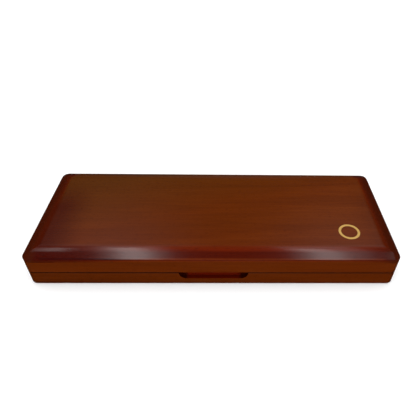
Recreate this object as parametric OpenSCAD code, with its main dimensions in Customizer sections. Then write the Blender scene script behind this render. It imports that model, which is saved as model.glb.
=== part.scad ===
// Fountain pen case: a flat box of lacquered wood, with a velvet pen bed and a padded, hinged lid.
// X runs along the case, Y from the front (-Y) to the hinges, and Z up from the table.
// The origin is on the table, under the middle of the case.

/* [Case] */
// Length of the case
case_l = 220; // [200:1:264]
// Depth of the case, front to back
case_w = 84; // [70:1:104]
// Radius of the four upright corners
corner_r = 4.5; // [3:0.5:7]
// Height of the joint where the lid meets the base
joint_h = 10; // [9.5:0.5:12]
// Gap between the two rims when the lid is shut
rim_gap = 0.2; // [0.1:0.05:0.4]
// Chamfer that softens the rims and the foot
rim_chamfer = 0.3; // [0.1:0.05:0.6]

/* [Lid top] */
// Width of the slope round the top, measured level
slope_w = 7; // [5:0.5:9]
// Fall of that slope, from the flat top to the sides
slope_fall = 3; // [2:0.1:4]
// Radius that rolls the slope into the flat top
roll_r = 14; // [4:1:18]
// Radius of the arris between the slope and the sides
arris_r = 0.8; // [0.3:0.1:1.5]
// Thickness of the top panel over the lining
panel_t = 3.3; // [2.5:0.1:4.5]
// Height of the panel's own upright edge
panel_edge_h = 2.4; // [1:0.1:4]

/* [Rails and floor] */
// Thickness of the base's rails
rail_t = 8; // [7.5:0.5:10]
// Thickness of the floor panel
floor_t = 2.4; // [2:0.1:3]
// Width of the rebate under the rails that holds the floor panel
rebate_w = 4; // [2:0.5:5]
// Thickness of the baize sheet under the case
baize_t = 0.8; // [0.5:0.1:1.2]
// How far the baize stands below the rails
baize_proud = 0.2; // [0.1:0.05:0.4]

/* [Lip] */
// Thickness of the lip that the lid closes over
lip_t = 1.8; // [1.2:0.1:2.5]
// Height of the lip above the base's rim
lip_h = 2.5; // [1.5:0.1:4]
// Chamfer that leads the lid onto the lip
lip_chamfer = 0.5; // [0.2:0.1:0.8]
// Clearance between the lip and the lid's rails
lip_gap = 0.3; // [0.2:0.05:0.5]

/* [Finger notch] */
// Length of the notch in the front of the base
notch_l = 41; // [30:1:60]
// Depth of the notch below the joint
notch_h = 5; // [4.6:0.1:6]
// How far the notch goes into the front
notch_t = 2.4; // [1.5:0.1:3]
// Radius of its two lower corners
notch_r = 4.4; // [2:0.1:4.4]

/* [Pen bed] */
// Thickest pen that the case holds
pen_d = 13.5; // [10:0.5:15]
// Longest pen that the case holds
pen_l = 152; // [130:1:170]
// Room round the pen in its trough
pen_gap = 0.8; // [0.5:0.1:1.5]
// Pile and backing left under the trough
trough_floor = 1; // [0.6:0.1:1.5]
// Radius of the trough's rounded ends
trough_end_r = 5; // [2:0.5:6]
// How far the bed lies below the rim
bed_drop = 0.5; // [0.2:0.1:1]
// Clearance between the bed and the lip
bed_gap = 0.3; // [0.2:0.1:0.5]
// Width of the finger scoop that crosses the trough
scoop_d = 30; // [24:1:36]
// Depth of that scoop
scoop_h = 4.4; // [2:0.1:5]

/* [Lid lining] */
// Thickness of the lining board
board_t = 1; // [0.8:0.1:1.5]
// Clearance round the lining board
board_gap = 0.2; // [0.1:0.05:0.4]
// Thickness of the cushion
cushion_t = 1.9; // [1.5:0.1:4]
// Clearance round the cushion
cushion_gap = 0.5; // [0.3:0.1:1]
// Gap between the cushion and a pen of the thickest size
cushion_lift = 0.1; // [0:0.1:0.5]

/* [Hinges] */
// Length of each butt hinge
hinge_l = 25; // [20:1:32]
// Distance of each hinge's middle from the middle of the case
hinge_x = 68; // [40:1:80]
// Radius of the knuckles
knuckle_r = 1.5; // [1.2:0.05:1.8]
// How far the knuckles lie in from the back
knuckle_inset = 0.1; // [0:0.05:0.4]
// Slope of each face of the groove along the back, which stops the open lid
groove_a = 48; // [48:1:55]
// Radius of the pin
pin_r = 0.75; // [0.6:0.05:0.8]
// Wood left between a leaf and the inside of the lid's rail
leaf_wall = 0.9; // [0.5:0.1:1]
// Thickness of a leaf
leaf_t = 1; // [0.8:0.1:1.2]
// Radius of the pin's running fit in the lid's knuckles, over the pin's own
pin_fit = 0.05; // [0.03:0.01:0.08]
// The same in the base's knuckles, where the pin stays put
pin_hold = 0.02; // [0.01:0.01:0.03]
// Clearance between the knuckles and all that they turn past
knuckle_gap = 0.2; // [0.1:0.05:0.3]

/* [Screws] */
// Radius of the countersunk head
head_r = 1.3; // [1.1:0.05:1.4]
// Radius of the shank
shank_r = 0.7; // [0.6:0.05:0.8]
// Length under the leaf's face
screw_l = 5.5; // [4:0.5:5.5]
// Distance of each screw from the middle of its hinge
screw_x = 8; // [6:0.5:9]
// Width of the slot in the head
slot_w = 0.35; // [0.25:0.05:0.5]
// Depth of that slot
slot_h = 0.3; // [0.2:0.05:0.4]

/* [Catch and inlay] */
// Diameter of the catch magnets and of the discs they pull
magnet_d = 5; // [4:0.5:6]
// Height of a magnet
magnet_h = 3; // [2:0.5:4]
// Thickness of a strike disc
strike_t = 1.2; // [0.8:0.1:2]
// Distance of each catch from the middle of the case
catch_x = 62; // [40:1:85]
// Outer diameter of the brass ring let into the lid
ring_d = 13; // [8:0.5:14]
// Width of the ring's band
ring_w = 1.5; // [0.8:0.1:3]
// Depth of the ring
ring_t = 0.8; // [0.5:0.1:1.2]
// Distance of the ring's middle from the case's right end
ring_from_end = 27; // [20:1:60]
// Distance of the ring's middle from the front
ring_from_front = 21; // [18:1:40]
// Clearance of parts that are glued or pressed into wood
fit_gap = 0.05; // [0.02:0.01:0.1]

/* [Hidden] */
$fn = 64;
// Facets along each drawn arc of a moulding
arc_steps = 7;
// Length by which a cutter reaches past what it cuts
over = 1;

// Heights, from the table up
rail_z = baize_proud;
floor_z = baize_t + floor_t;
base_rim_z = joint_h - rim_gap / 2;
lip_z = base_rim_z + lip_h;
lid_rim_z = joint_h + rim_gap / 2;
pen_top_z = floor_z + trough_floor + pen_d;
cushion_z = pen_top_z + cushion_lift;
board_z = cushion_z + cushion_t;
ceiling_z = board_z + board_t;
top_z = ceiling_z + panel_t;
arris_z = top_z - slope_fall;
panel_z = arris_z - panel_edge_h;

// Plan sizes of the hollows and of what lies in them
lid_rail_t = rail_t - lip_gap;
base_in_l = case_l - 2 * rail_t;
base_in_w = case_w - 2 * rail_t;
lid_in_l = case_l - 2 * lid_rail_t;
lid_in_w = case_w - 2 * lid_rail_t;
rebate_l = base_in_l + 2 * rebate_w;
rebate_d = base_in_w + 2 * rebate_w;
bed_l = base_in_l - 2 * (lip_t + bed_gap);
bed_w = base_in_w - 2 * (lip_t + bed_gap);

// Pen bed
bed_z = base_rim_z - bed_drop;
trough_r = pen_d / 2 + pen_gap;
trough_l = pen_l + 2 * pen_gap;
trough_z = floor_z + trough_floor + trough_r;
scoop_r = (pow(scoop_d / 2, 2) + pow(scoop_h, 2)) / (2 * scoop_h);

// Mouldings of the outside, as lists of [distance in from the face, height]
slope_a = atan(slope_fall / slope_w);
arris_tangent = arris_r * tan((90 - slope_a) / 2);
roll_room = slope_w - arris_tangent * cos(slope_a);
roll = min(roll_r, roll_room / (tan(slope_a / 2) * cos(slope_a)));
roll_tangent = roll * tan(slope_a / 2);
base_edge = [
    [rim_chamfer, rail_z],
    [0, rail_z + rim_chamfer],
    [0, base_rim_z - rim_chamfer],
    [rim_chamfer, base_rim_z]
];
lid_edge = [
    [rim_chamfer, lid_rim_z],
    [0, lid_rim_z + rim_chamfer],
    [0, panel_z]
];
panel_edge = concat(
    [[0, panel_z]],
    arc(arris_r, arris_z - arris_tangent, arris_r, 0, 90 - slope_a),
    arc(slope_w + roll_tangent, top_z - roll, roll, 90 - slope_a, 90)
);
lip_edge = [
    [0, floor_z],
    [0, lip_z - lip_chamfer],
    [lip_chamfer, lip_z]
];

// Hinges and catches
pivot_in = knuckle_r + knuckle_inset;
pivot_y = case_w / 2 - pivot_in;
leaf_w = lid_rail_t - leaf_wall - pivot_in;
knuckles = 5;
knuckle_pitch = hinge_l / knuckles;
base_knuckles = [0, 2, 4];
lid_knuckles = [1, 3];
leaf_flat_w = leaf_w - knuckle_r - knuckle_gap;
screw_y = -leaf_w + leaf_flat_w / 2;
head_h = head_r - shank_r;
catch_y = (rail_t - case_w) / 2;
ring_x = case_l / 2 - ring_from_end;
ring_y = ring_from_front - case_w / 2;

wood = "#6b2a10";
dark_wood = "#3d1508";
brass = "#c9a24b";
steel = "#b9bcc0";
velvet = "#1c1a1d";
satin = "#e3d6bd";
baize = "#1d3a2a";
card = "#8a7a64";

// Points of an arc, from one direction to another: 0 degrees faces out of the case, 90 faces up
function arc(inset, z, r, from, to) = [
    for (i = [0 : arc_steps])
        let (a = from + (to - from) * i / arc_steps)
        [inset - r * cos(a), z + r * sin(a)]
];

// ---- Shapes that several pieces share ----

// A plain block on a centred plan, between two heights
module block(l, w, z0, z1) {
    translate([-l / 2, -w / 2, z0])
        cube([l, w, z1 - z0]);
}

// Section through a centred solid whose two edges follow a moulding
module section(span, edge) {
    polygon(concat(
        [for (p = edge) [span / 2 - p[0], p[1]]],
        [for (i = [len(edge) - 1 : -1 : 0]) [edge[i][0] - span / 2, edge[i][1]]]
    ));
}

// A solid on a square-cornered plan, moulded alike along all four sides and mitred at the corners
module mitred_block(l, w, edge) {
    intersection() {
        rotate([90, 0, 0])
            linear_extrude(w, center = true)
                section(l, edge);
        rotate([90, 0, 90])
            linear_extrude(l, center = true)
                section(w, edge);
    }
}

// One rounded corner of the case: the moulding turned about the corner's own axis
module round_corner(edge) {
    foot = edge[0][1];
    crown = edge[len(edge) - 1][1];
    rotate_extrude(angle = 90)
        intersection() {
            polygon(concat(
                [for (p = edge) [corner_r - p[0], p[1]]],
                [[-case_w, crown], [-case_w, foot]]
            ));
            translate([0, foot])
                square([corner_r, crown - foot]);
        }
}

// A solid on the case's plan, moulded alike along its sides and round its corners
module case_block(edge) {
    foot = edge[0][1];
    crown = edge[len(edge) - 1][1];
    intersection() {
        mitred_block(case_l, case_w, edge);
        union() {
            block(case_l - 2 * corner_r, case_w, foot, crown);
            block(case_l, case_w - 2 * corner_r, foot, crown);
        }
    }
    for (mx = [0, 1], my = [0, 1])
        mirror([mx, 0, 0])
            mirror([0, my, 0])
                translate([case_l / 2 - corner_r, case_w / 2 - corner_r, 0])
                    round_corner(edge);
}

// Wedge that cuts the front or back member (side -1 or 1) out of a mitred frame
module long_wedge(l, w, depth, side) {
    translate([0, 0, -over])
        linear_extrude(top_z + 2 * over)
            polygon([
                [-l / 2 - over, side * (w / 2 + over)],
                [l / 2 + over, side * (w / 2 + over)],
                [l / 2 - depth, side * (w / 2 - depth)],
                [depth - l / 2, side * (w / 2 - depth)]
            ]);
}

// The same for the left or right member
module end_wedge(l, w, depth, side) {
    translate([0, 0, -over])
        linear_extrude(top_z + 2 * over)
            polygon([
                [side * (l / 2 + over), -w / 2 - over],
                [side * (l / 2 + over), w / 2 + over],
                [side * (l / 2 - depth), w / 2 - depth],
                [side * (l / 2 - depth), depth - w / 2]
            ]);
}

// V groove along the back, which opens from the hinge axis to the back face
module back_groove() {
    reach = pivot_in + over;
    translate([-case_l / 2 - over, pivot_y, joint_h])
        rotate([90, 0, 90])
            linear_extrude(case_l + 2 * over)
                polygon([
                    [0, 0],
                    [reach, -reach * tan(groove_a)],
                    [reach, reach * tan(groove_a)]
                ]);
}

// Moves what it holds to each of two places, mirrored about the middle of the case
module both_sides(x) {
    for (side = [-1, 1])
        translate([side * x, 0, 0])
            children();
}

// Turns the base's half of a hinge or catch over into the lid's half
module in_lid() {
    translate([0, 0, joint_h])
        mirror([0, 0, 1])
            translate([0, 0, -joint_h])
                children();
}

// ---- Hinges and screws ----

// Cylinder along a hinge's axis, over one knuckle's share of it
module on_axis(slot, r, length) {
    x = (slot + 0.5) * knuckle_pitch - hinge_l / 2;
    translate([x - length / 2, 0, 0])
        rotate([0, 90, 0])
            cylinder(h = length, r = r);
}

// Countersunk screw with its head's face at the origin, or its hole where gap is more than 0
module screw(gap = 0) {
    translate([0, 0, -head_h])
        cylinder(h = head_h, r1 = shank_r + gap, r2 = head_r + gap);
    translate([0, 0, -screw_l - gap])
        cylinder(h = screw_l + gap, r = shank_r + gap);
}

// The places of one hinge's screws, on the face of the base's leaf
module at_screws() {
    for (side = [-1, 1])
        translate([side * screw_x, screw_y, -rim_gap / 2])
            children();
}

// The base's leaf, with the hinge's axis through the origin
module leaf(own, others, fit) {
    difference() {
        union() {
            difference() {
                translate([-hinge_l / 2, -leaf_w, -rim_gap / 2 - leaf_t])
                    cube([hinge_l, leaf_w, leaf_t]);
                for (slot = others)
                    on_axis(slot, knuckle_r + knuckle_gap, knuckle_pitch);
            }
            for (slot = own)
                on_axis(slot, knuckle_r, knuckle_pitch - knuckle_gap);
        }
        on_axis((knuckles - 1) / 2, pin_r + fit, hinge_l + 2 * over);
        at_screws()
            screw(fit_gap);
    }
}

// What one hinge takes out of the base's back rail
module hinge_mortise() {
    mortise_l = hinge_l + 2 * knuckle_gap;
    translate([-mortise_l / 2, -leaf_w - fit_gap, -rim_gap / 2 - leaf_t])
        cube([mortise_l, leaf_w + fit_gap, leaf_t + over]);
    on_axis((knuckles - 1) / 2, knuckle_r + knuckle_gap, mortise_l);
    at_screws()
        screw(fit_gap);
}

// Puts what it holds on the hinge axis: side -1 is the left hinge, 1 the right
module on_hinge(side) {
    translate([side * hinge_x, pivot_y, joint_h])
        children();
}

// The screws of both hinges in the base
module hinge_screws() {
    for (side = [-1, 1])
        on_hinge(side)
            at_screws()
                difference() {
                    screw();
                    block(2 * head_r + over, slot_w, -slot_h, over);
                }
}

// ---- The base ----

// Mitred frame of the base, before it is cut into rails
module base_frame() {
    difference() {
        case_block(base_edge);
        block(base_in_l, base_in_w, rail_z - over, base_rim_z + over);
        block(rebate_l, rebate_d, rail_z - over, floor_z);
        back_groove();
    }
}

// The notch that a finger reaches into to lift the lid
module finger_notch() {
    translate([0, notch_t - case_w / 2, joint_h])
        rotate([90, 0, 0])
            linear_extrude(notch_t + over)
                polygon(concat(
                    [[notch_l / 2, over]],
                    [for (i = [0 : arc_steps])
                        let (a = -90 * i / arc_steps)
                        [notch_l / 2 - notch_r + notch_r * cos(a), notch_r - notch_h + notch_r * sin(a)]],
                    [for (i = [0 : arc_steps])
                        let (a = -90 - 90 * i / arc_steps)
                        [notch_r - notch_l / 2 + notch_r * cos(a), notch_r - notch_h + notch_r * sin(a)]],
                    [[-notch_l / 2, over]]
                ));
}

module base_front_rail() {
    color(wood)
        difference() {
            intersection() {
                base_frame();
                long_wedge(case_l, case_w, rail_t + over, -1);
            }
            finger_notch();
            both_sides(catch_x)
                magnet_body(fit_gap);
        }
}

module base_back_rail() {
    color(wood)
        difference() {
            intersection() {
                base_frame();
                long_wedge(case_l, case_w, rail_t + over, 1);
            }
            for (side = [-1, 1])
                on_hinge(side)
                    hinge_mortise();
        }
}

module base_end_rail(side) {
    color(wood)
        intersection() {
            base_frame();
            end_wedge(case_l, case_w, rail_t + over, side);
        }
}

module floor_panel() {
    color(dark_wood)
        block(rebate_l - 2 * fit_gap, rebate_d - 2 * fit_gap, baize_t, floor_z);
}

module base_baize() {
    color(baize)
        block(rebate_l - 2 * board_gap, rebate_d - 2 * board_gap, 0, baize_t);
}

// Mitred lip inside the rails, before it is cut into its four strips
module lip_frame() {
    difference() {
        mitred_block(base_in_l, base_in_w, lip_edge);
        block(base_in_l - 2 * lip_t, base_in_w - 2 * lip_t, floor_z - over, lip_z + over);
    }
}

module long_lip(side) {
    color(dark_wood)
        intersection() {
            lip_frame();
            long_wedge(base_in_l, base_in_w, lip_t + over, side);
        }
}

module end_lip(side) {
    color(dark_wood)
        intersection() {
            lip_frame();
            end_wedge(base_in_l, base_in_w, lip_t + over, side);
        }
}

// The pen's trough: a round-ended hollow turned about the pen's own axis
module trough() {
    end_z = trough_l / 2 - trough_end_r;
    translate([0, 0, trough_z])
        rotate([0, 90, 0])
            rotate_extrude()
                polygon(concat(
                    [[0, -trough_l / 2]],
                    [for (i = [0 : arc_steps])
                        let (a = -90 + 90 * i / arc_steps)
                        [trough_r + trough_end_r * (cos(a) - 1), trough_end_r * sin(a) - end_z]],
                    [for (i = [0 : arc_steps])
                        let (a = 90 * i / arc_steps)
                        [trough_r + trough_end_r * (cos(a) - 1), trough_end_r * sin(a) + end_z]],
                    [[0, trough_l / 2]]
                ));
}

module pen_bed() {
    color(velvet)
        difference() {
            block(bed_l, bed_w, floor_z, bed_z);
            trough();
            translate([0, 0, bed_z - scoop_h + scoop_r])
                sphere(r = scoop_r);
        }
}

module base_leaf(side) {
    color(brass)
        on_hinge(side)
            leaf(base_knuckles, lid_knuckles, pin_hold);
}

module hinge_pin(side) {
    color(brass)
        on_hinge(side)
            on_axis((knuckles - 1) / 2, pin_r, hinge_l - knuckle_gap);
}

module base_screws() {
    color(brass)
        hinge_screws();
}

// A magnet with its face in the base's rim, or its pocket where gap is more than 0
module magnet_body(gap = 0) {
    translate([0, catch_y, base_rim_z - magnet_h])
        cylinder(h = magnet_h + (gap > 0 ? over : 0), r = magnet_d / 2 + gap);
}

module magnet(side) {
    color(steel)
        translate([side * catch_x, 0, 0])
            magnet_body();
}

// ---- The lid ----

// Mitred frame of the lid's sides, before it is cut into rails
module lid_frame() {
    difference() {
        case_block(lid_edge);
        block(lid_in_l, lid_in_w, lid_rim_z - over, panel_z + over);
        back_groove();
    }
}

// A strike disc with its face in the lid's rim, or its pocket where gap is more than 0
module strike_body(gap = 0) {
    below = gap > 0 ? over : 0;
    translate([0, catch_y, lid_rim_z - below])
        cylinder(h = strike_t + below, r = magnet_d / 2 + gap);
}

module lid_front_rail() {
    color(wood)
        difference() {
            intersection() {
                lid_frame();
                long_wedge(case_l, case_w, lid_rail_t + over, -1);
            }
            both_sides(catch_x)
                strike_body(fit_gap);
        }
}

module lid_back_rail() {
    color(wood)
        difference() {
            intersection() {
                lid_frame();
                long_wedge(case_l, case_w, lid_rail_t + over, 1);
            }
            in_lid()
                for (side = [-1, 1])
                    on_hinge(side)
                        hinge_mortise();
        }
}

module lid_end_rail(side) {
    color(wood)
        intersection() {
            lid_frame();
            end_wedge(case_l, case_w, lid_rail_t + over, side);
        }
}

// The brass ring, or its groove where gap is more than 0
module ring_body(gap = 0) {
    translate([ring_x, ring_y, top_z - ring_t])
        difference() {
            cylinder(h = ring_t + (gap > 0 ? over : 0), r = ring_d / 2 + gap);
            translate([0, 0, -over])
                cylinder(h = ring_t + 3 * over, r = ring_d / 2 - ring_w - gap);
        }
}

module lid_top_panel() {
    color(wood)
        difference() {
            case_block(panel_edge);
            block(lid_in_l, lid_in_w, panel_z - over, ceiling_z);
            ring_body(fit_gap);
        }
}

module lining_board() {
    color(card)
        block(lid_in_l - 2 * board_gap, lid_in_w - 2 * board_gap, board_z, ceiling_z);
}

module lid_cushion() {
    color(satin)
        block(lid_in_l - 2 * cushion_gap, lid_in_w - 2 * cushion_gap, cushion_z, board_z);
}

module lid_leaf(side) {
    color(brass)
        in_lid()
            on_hinge(side)
                leaf(lid_knuckles, base_knuckles, pin_fit);
}

module lid_screws() {
    color(brass)
        in_lid()
            hinge_screws();
}

module strike(side) {
    color(steel)
        translate([side * catch_x, 0, 0])
            strike_body();
}

module inlay_ring() {
    color(brass)
        ring_body();
}

base_front_rail();
base_back_rail();
base_end_rail(-1);  // base_left_rail
base_end_rail(1);  // base_right_rail
floor_panel();
base_baize();
long_lip(-1);  // front_lip
long_lip(1);  // back_lip
end_lip(-1);  // left_lip
end_lip(1);  // right_lip
pen_bed();
base_leaf(-1);  // left_base_leaf
base_leaf(1);  // right_base_leaf
hinge_pin(-1);  // left_hinge_pin
hinge_pin(1);  // right_hinge_pin
base_screws();
magnet(-1);  // left_magnet
magnet(1);  // right_magnet
lid_front_rail();
lid_back_rail();
lid_end_rail(-1);  // lid_left_rail
lid_end_rail(1);  // lid_right_rail
lid_top_panel();
lining_board();
lid_cushion();
lid_leaf(-1);  // left_lid_leaf
lid_leaf(1);  // right_lid_leaf
lid_screws();
strike(-1);  // left_strike
strike(1);  // right_strike
inlay_ring();
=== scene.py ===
"""A fountain pen case of lacquered wood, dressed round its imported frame.

The wood, brass and steel parts of the frame stay and get their finishes. The velvet bed, the satin cushion
with its twisted cord, and the baize under the case are made here.
"""

import math

import bmesh
import bpy
import numpy as np
from mathutils import Matrix, Vector


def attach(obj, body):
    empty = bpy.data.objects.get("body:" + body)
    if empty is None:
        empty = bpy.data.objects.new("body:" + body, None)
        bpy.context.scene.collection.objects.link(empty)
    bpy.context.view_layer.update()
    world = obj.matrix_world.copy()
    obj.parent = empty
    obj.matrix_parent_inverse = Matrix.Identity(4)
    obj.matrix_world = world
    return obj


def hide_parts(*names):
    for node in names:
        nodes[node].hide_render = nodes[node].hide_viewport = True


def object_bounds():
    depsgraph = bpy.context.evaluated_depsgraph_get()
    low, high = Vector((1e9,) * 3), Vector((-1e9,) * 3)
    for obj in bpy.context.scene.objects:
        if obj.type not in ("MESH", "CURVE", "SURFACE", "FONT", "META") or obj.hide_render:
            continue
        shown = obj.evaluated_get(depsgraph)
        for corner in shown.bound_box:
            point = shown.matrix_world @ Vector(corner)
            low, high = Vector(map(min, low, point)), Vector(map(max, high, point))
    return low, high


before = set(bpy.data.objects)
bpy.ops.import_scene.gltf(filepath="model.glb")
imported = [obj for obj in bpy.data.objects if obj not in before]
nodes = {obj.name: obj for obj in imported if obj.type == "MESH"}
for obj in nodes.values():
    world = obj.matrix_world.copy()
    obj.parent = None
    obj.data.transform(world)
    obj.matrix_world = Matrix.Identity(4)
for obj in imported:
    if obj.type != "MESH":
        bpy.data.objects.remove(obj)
cad_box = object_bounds()

MM = 0.001
PER_MM = 1000.0  # features per metre where one feature is a millimetre long
HALF_L, HALF_W, LID_TOP = cad_box[1]


# ---- Small helpers ----


def srgb(hex_colour, alpha=1.0):
    """A hex colour, as a maker's chart gives it, in Blender's linear numbers."""
    parts = [int(hex_colour[i : i + 2], 16) / 255 for i in (1, 3, 5)]
    linear = [c / 12.92 if c <= 0.04045 else ((c + 0.055) / 1.055) ** 2.4 for c in parts]
    return (*linear, alpha)


def add(tree, kind, values=None, links=None, **settings):
    """Adds a node, sets its options and input values, and links what feeds it."""
    made = tree.nodes.new(kind)
    for name, setting in settings.items():
        setattr(made, name, setting)
    for name, value in (values or {}).items():
        made.inputs[name].default_value = value
    for name, source in (links or {}).items():
        tree.links.new(source, made.inputs[name])
    return made


def new_material(name):
    """An empty node material with its output, ready for a shader."""
    material = bpy.data.materials.new(name)
    material.use_nodes = True
    material.node_tree.nodes.clear()
    return material, material.node_tree


def set_stops(ramp, stops):
    """Gives a colour ramp its stops: a place, a hex colour and, where it matters, how far it covers."""
    elements = ramp.color_ramp.elements
    while len(elements) > len(stops):
        elements.remove(elements[-1])
    while len(elements) < len(stops):
        elements.new(1.0)
    for element, (place, *colour) in zip(elements, stops):
        element.position = place
        element.color = srgb(*colour)


def pattern(tree, where, size_mm, **grain):
    """Noise whose features have a real size, in millimetres along X, Y and Z."""
    sized = add(tree, "ShaderNodeMapping", {"Scale": tuple(PER_MM / mm for mm in size_mm)}, {"Vector": where})
    return add(tree, "ShaderNodeTexNoise", {"Scale": 1.0, **grain}, {"Vector": sized.outputs["Vector"]})


def along_grain(tree, place, along_y):
    """The piece's coordinates, turned a quarter where its grain runs along Y."""
    quarter = (0, 0, math.radians(90) if along_y else 0)
    turn = add(tree, "ShaderNodeMapping", {"Rotation": quarter}, {"Vector": place.outputs["Object"]})
    return turn.outputs["Vector"]


def put_in(name, data):
    """An object for a mesh, a light or a camera, in the scene at the origin."""
    made = bpy.data.objects.new(name, data)
    bpy.context.scene.collection.objects.link(made)
    return made


def dress(names, material):
    """Gives frame parts their finish."""
    for name in names:
        mesh = nodes[name].data
        mesh.materials.clear()
        mesh.materials.append(material)


# ---- Finishes ----


CASE_CORNER = 4.5 * MM
MOULDING_FOOT = 19 * MM
ARRIS_HEIGHT = 21.2 * MM
SIDE_TOP = 20 * MM
JOINT_HEIGHT = 10 * MM
SEAM_HALF_W = 0.38 * MM
SKIN = 0.45 * MM  # how far in from the outer faces their stain reaches
NOTCH_HALF_L = 21 * MM
# The room in the notch, just inside the front face, deep red with painted shade: axis, middle, half its size
NOTCH_ROOM = [("X", 0.0, NOTCH_HALF_L), ("Y", -40.5 * MM, 1.44 * MM), ("Z", 7.4 * MM, 2.45 * MM)]
# The stains, by how much the wood took, with a pale tone by the arris and a painted shade for the foot
DARK_RED = "#3a0500"
DEEP_RED = "#480c00"
CLEARED_RED = "#611700"
# A pale tone under the arris, which along the arris itself is a painted highlight
PALE_BY_ARRIS = "#622304"
SIDE_BROWN = "#4d1d00"
# Painted shade towards the foot of the sides
FOOT_SHADE = "#3f1400"
# The wood before those, paler in every other band, and what it turns to at the back left, where painted shade
# darkens it, and at the front
BANDS_STAIN = [
    (0.3, "#562100"),
    (0.5, "#5e2500"),
    (0.72, "#662b02"),
]
# Painted shade darkens the flat towards the back left as it browns
BACK_LEFT = (-3.0, 10.0, 0.0)  # how fast it browns along X and Y, per metre
BACK_LEFT_SHADED_BROWN = "#4f2804"
BACK_LEFT_REACH = {"From Min": 0.0, "From Max": 0.5, "To Max": 0.85}
FRONT_RED = "#561b00"
FRONT_REACH = {"From Min": -14 * MM, "From Max": -32 * MM, "To Max": 0.4}
# Up the moulding, from its foot to the flat of the lid: lighter under the arris, deep red up the slope,
# clearing round the roll. Each stop is a place, a stain and how far it covers
MOULDING_STAIN = [
    (0.0, SIDE_BROWN, 0.4),
    (0.16, PALE_BY_ARRIS, 0.95),
    (0.27, PALE_BY_ARRIS, 0.95),
    (0.32, DEEP_RED, 0.95),
    (0.78, DEEP_RED, 0.95),
    (0.9, CLEARED_RED, 0.9),
    (0.976, CLEARED_RED, 0.6),
    (1.0, CLEARED_RED, 0.0),
]
# Along the arris, from the left end to the right: dark near the left end, a painted highlight along the rest
ARRIS_DARK_AND_HIGHLIGHT = [
    (0.045, "#330200", 0.0),
    (0.06, "#330200", 0.95),
    (0.23, "#330200", 0.95),
    (0.34, PALE_BY_ARRIS, 0.9),
    (0.945, PALE_BY_ARRIS, 0.7),
    (0.96, PALE_BY_ARRIS, 0.0),
]
# Along the case, from its left end to its right: the two end slopes are browner and took more stain, and the
# front slope darkens towards them
ALONG_STAIN = [
    (0.025, "#3c1203", 0.85),
    (0.04, DARK_RED, 0.85),
    (0.14, DARK_RED, 0.8),
    (0.3, DARK_RED, 0.0),
    (0.86, DARK_RED, 0.0),
    (0.95, DARK_RED, 0.45),
    (0.975, "#3c1203", 0.85),
]
# Up a side, from the table to its top: darker towards the foot, a painted shade
SIDE_STAIN_AND_SHADE = [
    (0.01, FOOT_SHADE, 0.9),
    (0.2, SIDE_BROWN, 0.85),
    (0.5, SIDE_BROWN, 0.8),
    (0.53, SIDE_BROWN, 0.3),
    (0.7, SIDE_BROWN, 0.3),
    (0.88, SIDE_BROWN, 0.5),
]
# Where each stain begins and ends, and how much of it each end has: the moulding's end slopes, its back run,
# what bleeds into the flat from the ends and how far back, the arris, the sides, and the seam's painted shade
END_SLOPES = {"From Min": 98 * MM, "From Max": 102 * MM}
BACK_RUN_SHARE = {"From Min": 20 * MM, "From Max": 34 * MM, "To Min": 1.0, "To Max": 0.08}
BLEED_SHIFT = 5 * MM
BLED_IN = {"From Min": 80 * MM, "From Max": 104 * MM, "To Max": 0.9}
BLED_BACK = {"From Min": 2 * MM, "From Max": 26 * MM, "To Min": 1.0, "To Max": 0.1}
NEAR_ARRIS = {"From Min": 0.4 * MM, "From Max": 0.1 * MM}
SIDES_THINNING = {"From Min": -HALF_L, "From Max": HALF_L, "To Min": 1.0, "To Max": 0.45}
SEAM_THINNING = {"From Min": -40 * MM, "From Max": -30 * MM, "To Min": 1.0, "To Max": 0.0}
# The painted shade in the line where lid and base part
SEAM_SHADE = "#1c0700"
# Along the finger notch, from its middle to an end: deep red stain, then painted shade much darker at the
# end, and how far it covers
NOTCH_RED_AND_SHADE = [
    (0.7, "#520c00"),
    (0.8, "#280300"),
]
NOTCH_COVER = 0.95


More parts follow.
